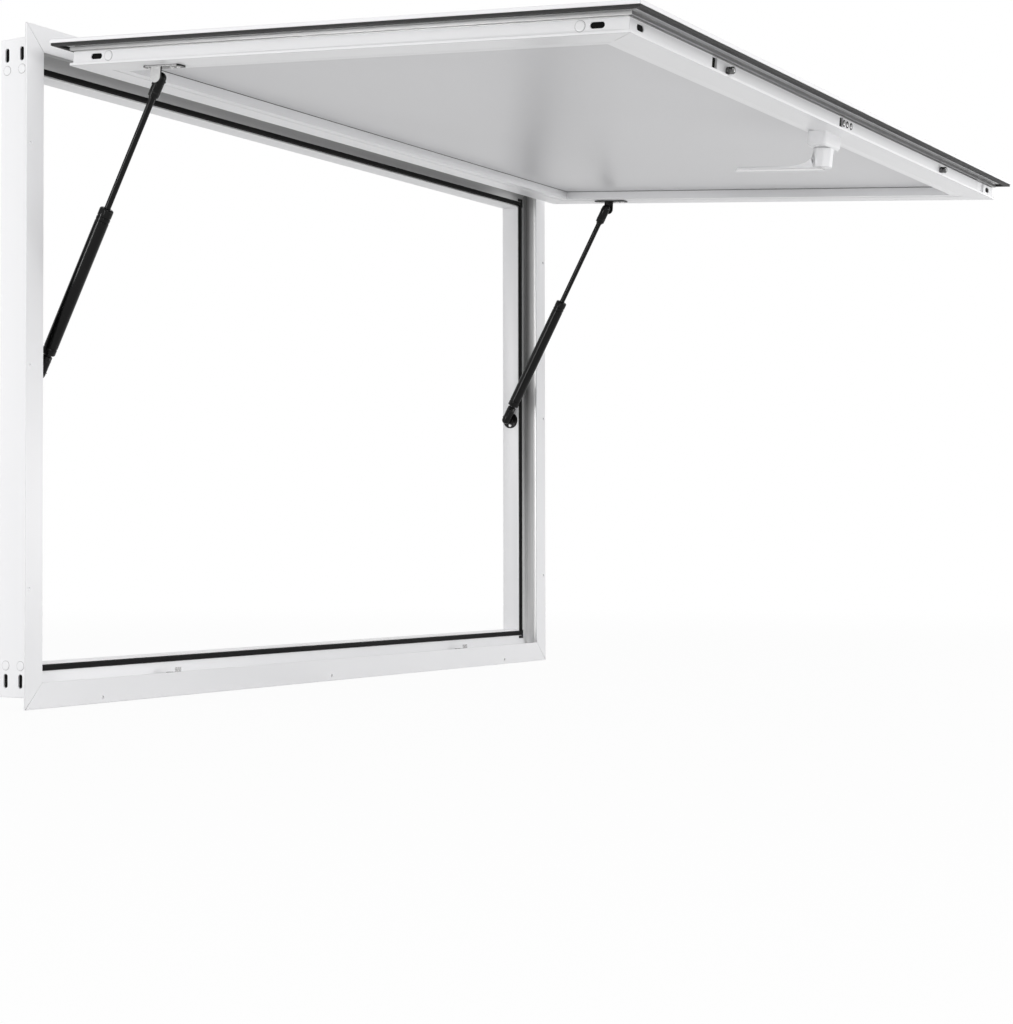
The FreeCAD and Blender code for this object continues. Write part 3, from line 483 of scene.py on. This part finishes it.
# Fixed frame: eased edges, hairline mitres, and painted shade in the rebate of head and jambs: darker satin
# metal on the rebate walls and the stop's front face, which the open leaf shades
frameLook = {"ease": 0.55, "seam": 0.1, "shortest": 40, "rebate": (25.5, 30.5), "depth": (-0.4, 21.4),
             "nose": 2, "stop": 54.5, "stopFace": (21.0, 22.0), "slant": 0.5, "square": 0.9}
inward = {"frame_head": Vector((0, 0, -1)), "frame_sill": Vector((0, 0, 1)),
          "frame_jamb_left": Vector((1, 0, 0)), "frame_jamb_right": Vector((-1, 0, 0))}
for name, direction in inward.items():
    edge = {"frame_head": high, "frame_sill": 0.0}.get(name, wide / 2)

    # Painted shade mask: the rebate walls and the stop's front face of head and jambs
    def rebateShadeAt(centre, normal, direction=direction, edge=edge):
        reach = edge + centre.dot(direction) / mm
        depth = centre.y / mm
        inside = frameLook["rebate"][0] < reach < frameLook["rebate"][1]
        back = frameLook["depth"][0] < depth < frameLook["depth"][1]
        wall = inside and back and (normal.dot(direction) > frameLook["slant"] or depth > frameLook["nose"])
        low, top = frameLook["stopFace"]
        stop = reach < frameLook["stop"] and normal.y < -frameLook["square"] and low < depth < top
        return int(edge > 0 and (wall or stop))  # the sill, at 0, stays white

    upright = name.startswith("frame_jamb")
    softened(name, frameLook["ease"], frameLook["shortest"], rebateShadeAt,
             [extras["rebateShadeUpright" if upright else "rebateShadeAcross"]],
             (2 if upright else 0, frameLook["seam"]))

# Corner plates on the stop, outside the seal
cornerLook = {"near": 39.0, "far": 43.4, "leg": 53.0, "thick": 1.0, "level": 21.5}
near, far, leg = cornerLook["near"], cornerLook["far"], cornerLook["leg"]
corner = [(near, near), (leg, near), (leg, far), (far, far), (far, leg), (near, leg)]
directions = {"LowLeft": (1, 1), "LowRight": (-1, 1), "HighLeft": (1, -1), "HighRight": (-1, -1)}
for name, (sideways, upward) in directions.items():
    origin = (-sideways * wide / 2, 0.0 if upward > 0 else high)
    outline = [(origin[0] + sideways * x, origin[1] + upward * z) for x, z in corner]
    plate("cornerPlate" + name, outline, cornerLook["thick"], at(0, cornerLook["level"], 0) @ facing("X", 90),
          "frame", "steel_dark")
print("frame eased")

# Awning sash: painted shade between the lip and the lock face, a dark satin metal where the lip's overhang
# shades the band
sashLook = {"ease": 0.5, "seam": 0.1, "shortest": 40, "depth": (4.6, 12.1), "reach": (16.0, 23.5)}
for name in ("sash_rail_hinge", "sash_rail_front", "sash_stile_left", "sash_stile_right"):
    def underLipShadeAt(centre, normal, name=name):
        closed = shut @ centre
        depth = closed.y / mm - leaf["face"]
        reach = {"sash_rail_front": closed.z / mm - leaf["low"],
                 "sash_rail_hinge": leaf["top"] - closed.z / mm,
                 "sash_stile_left": leaf["half"] + closed.x / mm,
                 "sash_stile_right": leaf["half"] - closed.x / mm}[name]
        (shallow, deep), (near, far) = sashLook["depth"], sashLook["reach"]
        return int(shallow < depth < deep and near < reach < far)

    along = "underLipShadeDeep" if "stile" in name else "underLipShadeAcross"
    softened(name, sashLook["ease"], sashLook["shortest"], underLipShadeAt, [extras[along]],
             (1 if "stile" in name else 0, sashLook["seam"]))
print("sash eased")

# Gasket between the bead and the panel's sheet, a thin dark line all round
gasket = {"inset": 69.4, "lap": 0.6, "width": 0.8, "level": 16.0, "height": 0.6, "crest": (0.6, 0.9)}


def gasketRing():
    shape = bmesh.new()
    inner, outer = gasket["inset"] - gasket["lap"], gasket["inset"] + gasket["width"]
    along, up = gasket["crest"]
    loops = []
    for inset, lift in ((inner, 0), (inner, gasket["height"]),
                        (gasket["inset"] + gasket["width"] * along, gasket["height"] * up), (outer, 0)):
        side = leaf["half"] - inset
        low, top = leaf["low"] + inset, leaf["top"] - inset
        y = leaf["face"] + gasket["level"] + lift
        loops.append([shape.verts.new(swing @ (Vector(corner) * mm)) for corner in
                      ((-side, y, low), (side, y, low), (side, y, top), (-side, y, top))])
    for one, other in zip(loops, loops[1:] + loops[:1]):
        for index in range(4):
            following = (index + 1) % 4
            shape.faces.new((one[index], one[following], other[following], other[index]))
    return addPiece("panelGasket", meshOf(shape, "panelGasket"), "awning", "seal_rubber", extras["gasket"])


gasketRing()

# Black backings behind the drain slots, painted shade for the shade inside them, and snap plugs beside them;
# "lock" is the lock channel's middle
slotLook = {"size": (18.6, 8.2), "thick": 1.2, "fit": (16.9, 6.9), "deep": 5.6, "lock": 19.1,
            "rows": {"Front": 17.4, "Back": 41.3}, "jambEnd": 33.4, "jambFace": 15.55, "stileEnd": 58.0,
            "stileFace": 28.0, "railEnd": 46.9, "railFace": 28.0}
slotShadeOutline, holeShadeOutline = oblong(*slotLook["size"]), oblong(*slotLook["fit"])
plugLook = {"radius": 5.6, "stileRadius": 5.9, "proud": 0.7, "groove": 0.5, "jambEnd": 52.4, "jambFace": 13.5,
            "stileFace": 21.4, "stileEnds": {"Front": 712.5, "Hinge": 76.5}}


def plugProfile(radius):
    proud, groove = plugLook["proud"], plugLook["groove"]
    return [(0, proud * 0.85), (radius * 0.55, proud * 0.9), (radius - groove * 2, proud),
            (radius - groove, proud * 0.75), (radius - groove * 0.5, proud * 0.1), (radius, 0.25),
            (radius, -0.02)]


def plug(name, radius, place, body):
    turned(name, plugProfile(radius), place, body, "white_frame")
    # Painted shade: a grey hairline ring round the plug for the shade in its groove
    shadow = [(radius - 0.2, 0.12), (radius + 0.35, 0.12), (radius + 0.45, -0.02)]
    turned(name + "Line", shadow, place, body, "white_frame", extras["plugShadeRing"])


lockMiddle = leaf["face"] + slotLook["lock"]
for side, sign in (("Left", -1), ("Right", 1)):
    outward = facing("Y", 90 * sign)
    for row, y in slotLook["rows"].items():
        for end, z in (("Low", slotLook["jambEnd"]), ("High", high - slotLook["jambEnd"])):
            x = sign * (wide / 2 - slotLook["jambFace"] - slotLook["thick"])
            plate(f"slotCover{side}{row}{end}", slotShadeOutline, slotLook["thick"], at(x, y, z) @ outward, "frame",
                  "seal_rubber", extras["recess"])
        x = sign * (wide / 2 - plugLook["jambFace"])
        for end, z in (("Low", plugLook["jambEnd"]), ("High", high - plugLook["jambEnd"])):
            plug(f"jambPlug{side}{row}{end}", plugLook["radius"], at(x, y, z) @ outward, "frame")
    x = sign * (leaf["half"] - slotLook["stileFace"])
    for end, z in (("Front", leaf["low"] + slotLook["stileEnd"]),
                   ("Hinge", leaf["top"] - slotLook["stileEnd"])):
        plate(f"stileSlotShade{side}{end}", holeShadeOutline, slotLook["deep"], swing @ at(x, lockMiddle, z) @ outward,
              "awning", "seal_rubber", extras["recess"])
    x = sign * (leaf["half"] - plugLook["stileFace"])
    for end, below in plugLook["stileEnds"].items():
        plug(f"stilePlug{side}{end}", plugLook["stileRadius"],
             swing @ at(x, lockMiddle, leaf["top"] - below) @ outward, "awning")
    x = sign * (leaf["half"] - slotLook["railEnd"])
    for end, z, turn in (("Front", leaf["low"] + slotLook["railFace"], 180),
                         ("Hinge", leaf["top"] - slotLook["railFace"], 0)):
        plate(f"railSlotShade{side}{end}", holeShadeOutline, slotLook["deep"],
              swing @ at(x, lockMiddle, z) @ facing("X", turn), "awning", "seal_rubber", extras["recess"])

# Painted shade: a black sheet at the left end of the lock channel, for the shaded gap at the bar's end
channelShadeLook = {"half": (3.4, 6.6), "thick": 0.12, "ease": 0.05, "x": -413.6, "lift": 24.2}
plate("channelEndShade", rectangle(*channelShadeLook["half"]), channelShadeLook["thick"],
      swing @ at(channelShadeLook["x"], lockMiddle, leaf["low"] + channelShadeLook["lift"]) @ facing("X", 180), "awning",
      "seal_rubber", extras["recess"], channelShadeLook["ease"])
print("covers and plugs made")

# Screws: a pan head with a socket in it
socketShare = 0.42


def screwProfile(radius, height):
    hole = radius * socketShare
    return [(0, height * 0.2), (hole * 0.9, height * 0.25), (hole, height * 0.95), (radius * 0.62, height),
            (radius * 0.88, height * 0.66), (radius, height * 0.25), (radius, -0.02)]


def screw(name, place, body, radius, height, slot="steel_bright"):
    return turned(name, screwProfile(radius, height), place, body, slot, segments=24)


# Gas struts: turned tubes and rods, eased sockets with a groove ring and a wire clip
strutLook = {"x": 603.0, "foot": (36.5, 415.0), "head": (-154.48, 763.34), "socket": 27.0, "tube": 198.25,
             "tubeRadius": 9.0, "rodRadius": 4.0, "rodInside": 60.0, "groove": 0.55,
             "grooves": (9.0, -17.0, -11.5), "ring": [(6.9, 17.6), (7.25, 18.1), (7.25, 19.4), (6.9, 19.9)],
             "socketEase": 0.3, "shortest": 6.0}
clipLook = {"radius": 7.6, "wire": 0.5, "sweep": 150, "step": 20, "lift": 1.2, "bow": 0.35, "tail": 11.0}
studLook = {"wall": 619.0, "disc": 13.5, "screwWall": 617.0, "screwUp": 8.6, "screw": (2.9, 1.2)}
bracketLook = {"ease": 0.35, "shortest": 6.0, "leg": 5.0, "square": 0.9, "x": 606.0, "plate": 2.0,
               "screw": (2.9, 1.1), "screws": {"Low": 650.0, "High": 659.5, "Rear": 692.5}}
rise = strutLook["head"][1] - strutLook["foot"][1]
run = strutLook["head"][0] - strutLook["foot"][0]
strutLength = math.hypot(rise, run)
tilt = math.degrees(math.atan2(-run, rise))
bottom = strutLook["socket"]
top = bottom + strutLook["tube"]
radius, dent, rod = strutLook["tubeRadius"], strutLook["groove"], strutLook["rodRadius"]
tubeProfile = [(0, bottom), (radius - 2.0, bottom), (radius - 0.7, bottom + 0.4), (radius, bottom + 1.4)]
for place in strutLook["grooves"]:  # rolled grooves hold the ends
    groove = (bottom if place > 0 else top) + place
    tubeProfile += [(radius, groove - 1.0), (radius - dent, groove - 0.35), (radius - dent, groove + 0.35),
                    (radius, groove + 1.0)]
tubeProfile += [(radius, top - 2.2), (radius - 0.5, top - 1.0), (radius - 1.6, top - 0.15),
                (radius - 2.6, top), (5.2, top), (5.0, top - 0.5), (4.1, top - 0.5), (4.1, top - 4.0),
                (0, top - 4.0)]
rodStart, rodEnd = top - strutLook["rodInside"], strutLength - bottom + 0.5
rodProfile = [(0, rodStart), (rod, rodStart), (rod, rodEnd), (0, rodEnd)]
disc = studLook["disc"]
studProfile = [(0, 0), (disc, 0), (disc, 1.3), (disc - 0.7, 2.0), (5.6, 2.0), (4.6, 2.6), (4.4, 4.5),
               (2.6, 4.9), (2.4, 8.4), (0, 8.6)]
sweep = [math.radians(turn) for turn in range(-clipLook["sweep"], clipLook["sweep"] + 1, clipLook["step"])]
bow = [(clipLook["radius"] * math.cos(turn), clipLook["radius"] * math.sin(turn)) for turn in sweep]
clip = [(x, y, clipLook["lift"] + clipLook["bow"] * abs(y)) for x, y in bow]
clip = [(*bow[0], clipLook["tail"])] + clip + [(*bow[-1], clipLook["tail"])]
for side, sign in (("left", -1), ("right", 1)):
    foot = at(sign * strutLook["x"], *strutLook["foot"]) @ facing("X", tilt)
    head = foot @ at(0, 0, strutLength) @ facing("X", 180)
    tubeBody, rodBody = f"strut_tube_body_{side}", f"strut_rod_body_{side}"
    turned(f"strutTube{side}", tubeProfile, foot, tubeBody, "strut_black", standsFor=[f"strut_tube_{side}"],
           segments=56)
    turned(f"strutRod{side}", rodProfile, foot, rodBody, "rod_steel", standsFor=[f"strut_rod_{side}"])
    for end, place, body in (("foot", foot, tubeBody), ("rod", head, rodBody)):
        softened(f"strut_{end}_socket_{side}", strutLook["socketEase"], strutLook["shortest"])
        turned(f"{end}SocketRing{side}", strutLook["ring"], place, body, "steel_dark")
        wire(f"{end}SocketClip{side}", clip, clipLook["wire"],
             place @ facing("Z", 0 if sign < 0 else 180), body, "steel_bright", finishes["steel_dark"])
    y, z = strutLook["foot"]
    onWall = facing("Y", -90 * sign)
    turned(f"strutStud{side}", studProfile, at(sign * studLook["wall"], y, z) @ onWall, "frame", "steel_dark",
           standsFor=[f"strut_stud_{side}"], segments=48)
    for end, up in (("Low", -studLook["screwUp"]), ("High", studLook["screwUp"])):
        screw(f"studScrew{side}{end}", at(sign * studLook["screwWall"], y, z + up) @ onWall, "frame",
              *studLook["screw"])

    # Painted highlight: the bracket leg's outward face is made pale zinc, for the lamp's reflection on black
    # enamel
    def legSheenAt(centre, normal, sign=sign):
        closed = shut @ centre
        outside = normal.x * sign > bracketLook["square"]
        return int(outside and closed.y / mm > leaf["back"] + bracketLook["leg"])

    softened(f"strut_bracket_{side}", bracketLook["ease"], bracketLook["shortest"], legSheenAt, [extras["zincAndSheen"]])
    for end, z in bracketLook["screws"].items():
        screw(f"bracketScrew{side}{end}",
              swing @ at(sign * bracketLook["x"], leaf["back"] + bracketLook["plate"], z) @ facing("X", -90),
              "awning", *bracketLook["screw"])
print("struts made, length", round(strutLength, 1))

# Lock: eased bars, three screws near the middle with painted shade rings, a painted shade sheet in the bars'
# gap, turned rollers, keepers with a painted shade strip for their slot
lockLook = {"face": 43.7, "level": 3.1, "ease": 0.3, "shortest": 10.0, "screws": (-7.5, 4.0, 17.8),
            "screw": (2.9, 0.9), "ring": [(2.6, 0.4), (4.2, 0.4), (4.5, -0.02)]}
linkLook = {"x": -17.2, "lift": 2.6, "half": (4.6, 6.2), "thick": 0.3, "ease": 0.1}
rollerLook = {"x": 382.0, "level": 21.4, "radius": 4.4, "reach": 9.2}
keeperLook = {"ease": 0.25, "shortest": 6.0, "shift": 15.0, "slot": (-21.0, -6.8), "level": (28.2, 29.3),
              "face": 3.5, "thick": 0.12, "slotEase": 0.05}
for side in ("left", "right"):
    softened(f"lock_bar_{side}", lockLook["ease"], lockLook["shortest"])
below = facing("X", 180)
for index, x in enumerate(lockLook["screws"]):
    spot = swing @ at(x, lockLook["level"], lockLook["face"]) @ below
    screw(f"barScrew{index}", spot, "lock_bars", *lockLook["screw"])
    # Painted shade: a black ring round each screw head for the shaded recess it sits in
    turned(f"barScrewShadeRing{index}", lockLook["ring"], spot, "lock_bars", "steel_dark", extras["recess"],
           segments=24)
# Painted shade: a black sheet over the link plate, in the gap between the bars
plate("linkGapShade", rectangle(*linkLook["half"]), linkLook["thick"],
      swing @ at(linkLook["x"], lockLook["level"], lockLook["face"] + linkLook["lift"]) @ below, "lock_bars",
      "bar_white", extras["recess"], linkLook["ease"])
rim, reach = rollerLook["radius"], rollerLook["reach"]
rollerProfile = [(0, 0), (rim - 0.9, 0), (rim - 0.9, 0.5), (rim, 0.9), (rim, 4.0), (rim - 0.6, 4.4),
                 (rim - 0.6, 4.9), (rim, 5.3), (rim, reach - 0.9), (rim - 0.9, reach), (2.0, reach),
                 (1.8, reach - 0.9), (0, reach - 1.0)]
capProfile = [(0, 0.5), (1.3, 0.45), (1.9, 0.1), (1.9, -0.9)]
for side, sign in (("left", -1), ("right", 1)):
    spot = swing @ at(sign * rollerLook["x"], leaf["face"] + rollerLook["level"], lockLook["face"]) @ below
    turned(f"lockRoller{side}", rollerProfile, spot, "lock_bars", "roller_steel",
           standsFor=[f"lock_roller_{side}"], segments=36)
    turned(f"rollerCap{side}", capProfile, spot @ at(0, 0, reach), "lock_bars", "roller_steel",
           extras["zincAndSheen"], segments=24)
    softened(f"keeper_{side}", keeperLook["ease"], keeperLook["shortest"])
    # Painted shade: a black strip on the sill's ridge beside each keeper stands for its shaded slot
    near, far = (sign * rollerLook["x"] + keeperLook["shift"] + end for end in keeperLook["slot"])
    low, top = keeperLook["level"]
    plate(f"keeperSlotShade{side}", [(near, low), (far, low), (far, top), (near, top)], keeperLook["thick"],
          at(0, keeperLook["face"], 0) @ facing("X", 90), "frame", "keeper_steel", extras["recess"],
          keeperLook["slotEase"])
print("lock made")

# Handle: rounded base and lever, two screws in the base's inner face
handleLook = {"baseEase": 1.2, "leverEase": 1.4, "shortest": 4.0, "screwX": (-14.5, 30.5), "screwLift": 18.0,
              "screwZ": 74.5, "screw": (2.8, 0.7)}
softened("handle_base", handleLook["baseEase"], handleLook["shortest"], segments=3)
softened("handle_lever", handleLook["leverEase"], handleLook["shortest"], segments=3)
for index, x in enumerate(handleLook["screwX"]):
    screw(f"handleScrew{index}",
          swing @ at(x, leaf["back"] + handleLook["screwLift"], handleLook["screwZ"]) @ facing("X", -90),
          "awning", *handleLook["screw"], "handle_white")
print("handle made")

# Hinge: low screws along both plates
hingeLook = {"first": -560.0, "step": 160.0, "count": 8, "fixed": (-4.5, 830.0), "out": 2.0, "down": 15.0,
             "screw": (2.6, 0.7)}
for index in range(hingeLook["count"]):
    x = hingeLook["first"] + index * hingeLook["step"]
    screw(f"hingeScrewFixed{index}", at(x, *hingeLook["fixed"]) @ facing("X", 90), "frame",
          *hingeLook["screw"])
    screw(f"hingeScrewMoving{index}",
          swing @ at(x, leaf["face"] - hingeLook["out"], leaf["top"] - hingeLook["down"]) @ facing("X", 90),
          "awning", *hingeLook["screw"])
print("hinge screws made")

# Studio: pale floor, white surroundings, soft lamps
studio = {"floor": -0.002, "half": 30, "sky": 0.64, "floorLevel": 0.65, "floorRoughness": 0.9,
          "floorGloss": 0.2, "fade": (1.2, 4.0), "floorMix": 0.95}
lamps = {
    "leftStrip": {"place": (-3.6, -1.2, 0.9), "aim": (0.0, 0.0, 0.5), "size": (0.5, 2.4), "power": 18.0},
    "rearStrip": {"place": (-3.3, 1.1, 0.5), "aim": (0.6, 0.0, 0.5), "size": (0.4, 1.2), "power": 28.0},
    "frontSoft": {"place": (-0.8, -4.4, 3.4), "aim": (0.0, 0.0, 0.4), "size": (4.0, 3.0), "power": 97.0},
    "rightLow": {"place": (1.0, -1.9, 0.3), "aim": (0.25, -0.8, 0.8), "size": (1.2, 0.4), "power": 8.5},
}

world = bpy.data.worlds.new("studio")
bpy.context.scene.world = world
world.use_nodes = True
tree = world.node_tree
tree.nodes.clear()
background = tree.nodes.new("ShaderNodeBackground")
background.inputs["Color"].default_value = (1, 1, 1, 1)
seen = tree.nodes.new("ShaderNodeLightPath")
cameraOrGloss = tree.nodes.new("ShaderNodeMath")
cameraOrGloss.operation = "MAXIMUM"
tree.links.new(seen.outputs["Is Camera Ray"], cameraOrGloss.inputs[0])
tree.links.new(seen.outputs["Is Glossy Ray"], cameraOrGloss.inputs[1])
level = tree.nodes.new("ShaderNodeMapRange")
level.inputs["To Min"].default_value = studio["sky"]
level.inputs["To Max"].default_value = 1.0
tree.links.new(cameraOrGloss.outputs[0], level.inputs["Value"])
tree.links.new(level.outputs["Result"], background.inputs["Strength"])
worldOut = tree.nodes.new("ShaderNodeOutputWorld")
tree.links.new(background.outputs[0], worldOut.inputs["Surface"])

floorMesh = bpy.data.meshes.new("floor")
floorMesh.from_pydata([(x, y, 0) for x, y in rectangle(studio["half"], studio["half"])], [], [(0, 1, 2, 3)])
floor = bpy.data.objects.new("floor", floorMesh)
bpy.context.scene.collection.objects.link(floor)
floor.location.z = studio["floor"]
floorShader = Shader("paleFloor")
floorShader.finish(colour=grey(studio["floorLevel"]), roughness=studio["floorRoughness"],
                   gloss=studio["floorGloss"])
glow = floorShader.node("ShaderNodeEmission", {}, {"Strength": 1.0})
paths = floorShader.node("ShaderNodeLightPath", {}, {}, "Is Camera Ray")
gloss = floorShader.node("ShaderNodeLightPath", {}, {}, "Is Glossy Ray")
distance = floorShader.node("ShaderNodeVectorMath", {"operation": "LENGTH"}, {0: floorShader.place()},
                            "Value")
faded = floorShader.node("ShaderNodeMapRange", {"interpolation_type": "SMOOTHSTEP"},
                         {"Value": distance, "From Min": studio["fade"][0], "From Max": studio["fade"][1],
                          "To Min": studio["floorMix"], "To Max": 1.0})
share = floorShader.node("ShaderNodeMath", {"operation": "MINIMUM"}, {0: (paths + gloss) * faded, 1: 1.0})
mixed = floorShader.tree.nodes.new("ShaderNodeMixShader")
floorShader.put(mixed.inputs[0], share)
floorShader.tree.links.new(floorShader.surface.outputs[0], mixed.inputs[1])
floorShader.tree.links.new(glow.socket, mixed.inputs[2])
floorShader.tree.links.new(mixed.outputs[0], floorShader.output.inputs["Surface"])
floorMesh.materials.append(floorShader.material)

for name, look in lamps.items():
    lamp = bpy.data.lights.new(name, "AREA")
    lamp.shape = "RECTANGLE"
    lamp.size, lamp.size_y = look["size"]
    lamp.energy = look["power"]
    holder = bpy.data.objects.new(name, lamp)
    bpy.context.scene.collection.objects.link(holder)
    holder.location = look["place"]
    holder.visible_camera = False
    holder.rotation_euler = (Vector(look["aim"]) - Vector(look["place"])).to_track_quat("-Z", "Y").to_euler()

# Camera, at the photograph's place
view = {"place": (-2.6102, -1.7311, 0.2023), "turn": -56.156, "tilt": 91.105, "focal": 2120.34,
        "sensor": 36.0, "centre": (319.71, 502.51), "picture": (1013, 1024), "clip": (0.05, 100.0)}
camera = bpy.data.cameras.new("camera")
camera.sensor_fit = "HORIZONTAL"
camera.sensor_width = view["sensor"]
across, down = view["picture"]
camera.lens = view["focal"] * view["sensor"] / across
camera.shift_x = (across / 2 - view["centre"][0]) / across
camera.shift_y = (view["centre"][1] - down / 2) / across
camera.clip_start, camera.clip_end = view["clip"]
cameraObject = bpy.data.objects.new("camera", camera)
bpy.context.scene.collection.objects.link(cameraObject)
cameraObject.location = view["place"]
cameraObject.rotation_euler = (math.radians(view["tilt"]), 0, math.radians(view["turn"]))
bpy.context.scene.camera = cameraObject
bpy.context.scene.view_settings.view_transform = "Standard"
print("studio and camera set")
